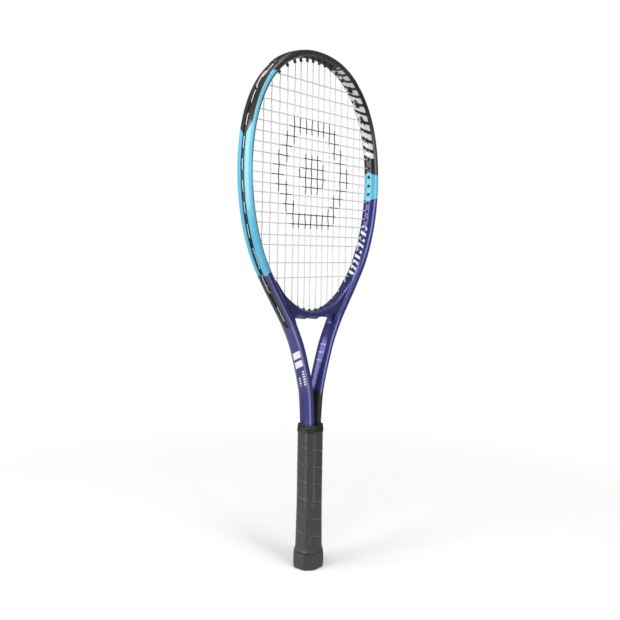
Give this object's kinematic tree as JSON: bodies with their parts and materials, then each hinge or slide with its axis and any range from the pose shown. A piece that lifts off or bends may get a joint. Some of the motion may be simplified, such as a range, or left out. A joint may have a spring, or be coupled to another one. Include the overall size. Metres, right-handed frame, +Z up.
{
  "type": "tennis racket",
  "caption": "Adult tennis racket with a hollow composite hairpin frame, open throat, woven string bed and octagonal wrapped handle.",
  "frame": {"origin": "centre of the butt cap's flat end face; the racket stands on it", "axes": "+Z up the racket from butt to tip, X across the string bed, Y normal to the string bed"},
  "size_m": [0.2748, 0.0364, 0.685],
  "materials": {
    "frame_paint": "metallic indigo lacquer over a carbon composite tube, with sky blue and black areas",
    "bridge_paint": "metallic indigo lacquer over a moulded composite yoke",
    "grommet_nylon": "satin black nylon",
    "string_skin": "slightly glossy off-white synthetic string",
    "pallet_plastic": "moulded grey plastic",
    "cap_plastic": "fine-textured black plastic",
    "door_plastic": "satin dark grey plastic",
    "staple_steel": "bright wire",
    "grip_skin": "matt synthetic leather with fine grain",
    "finishing_vinyl": "smooth black vinyl tape",
    "collar_rubber": "soft black rubber"
  },
  "bodies": {
    "root": {"frame_tube": "frame_paint", "throat_bridge": "bridge_paint", "bumper_guard": "grommet_nylon", "side_grommet_strip_left": "grommet_nylon", "side_grommet_strip_right": "grommet_nylon", "throat_grommet_strip_left": "grommet_nylon", "throat_grommet_strip_right": "grommet_nylon", "bridge_grommet_strip": "grommet_nylon", "main_string": "string_skin", "cross_string": "string_skin", "pallet_front": "pallet_plastic", "pallet_back": "pallet_plastic", "butt_cap": "cap_plastic", "butt_door": "door_plastic", "cap_staple_front": "staple_steel", "cap_staple_back": "staple_steel", "grip_tape": "grip_skin", "finishing_tape": "finishing_vinyl", "grip_collar": "collar_rubber"}
  },
  "joints": []
}
